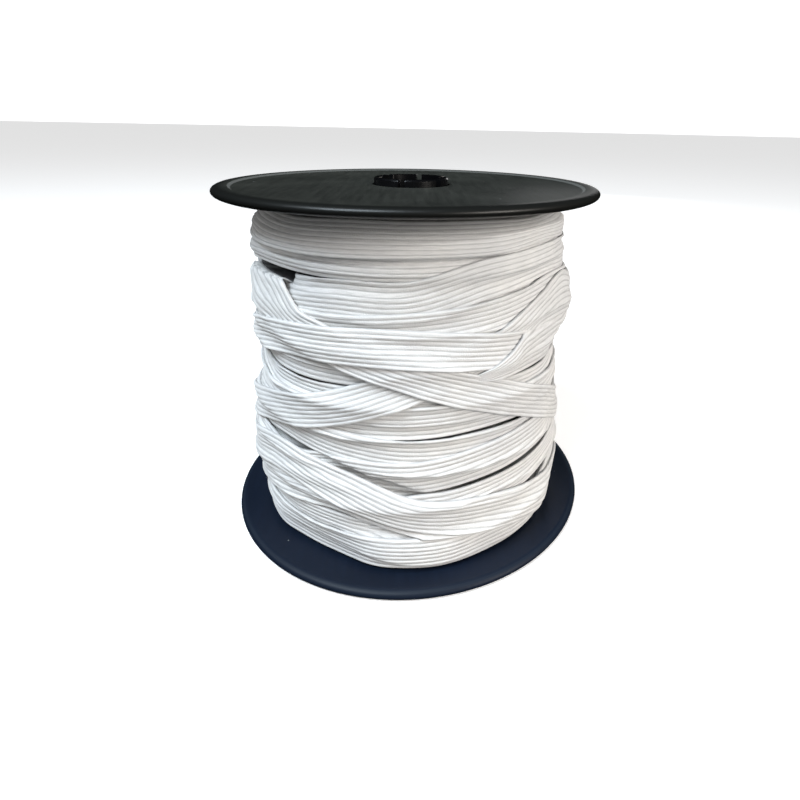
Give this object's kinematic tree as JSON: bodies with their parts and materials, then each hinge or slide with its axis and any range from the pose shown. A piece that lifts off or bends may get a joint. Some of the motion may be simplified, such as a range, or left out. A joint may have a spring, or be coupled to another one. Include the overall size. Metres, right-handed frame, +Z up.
{
  "type": "roll of ribbed elastic on a two-flange plastic spool",
  "caption": "Flat ribbed white elastic wound in crossing turns on a black plastic spool that stands on one flange.",
  "frame": {"origin": "centre of the base, on the surface that the lower flange stands on", "axes": "+Z up along the spool's axis; -Y towards the side that the picture shows, +X to its right"},
  "size_m": [0.118, 0.118, 0.106],
  "materials": {
    "disc": "satin moulded black",
    "clip": "glossy moulded black",
    "elastic": "white ribbed braid"
  },
  "bodies": {
    "root": {"flange_bottom": "disc", "flange_top": "disc", "core": "clip", "winding": "elastic"}
  },
  "joints": []
}
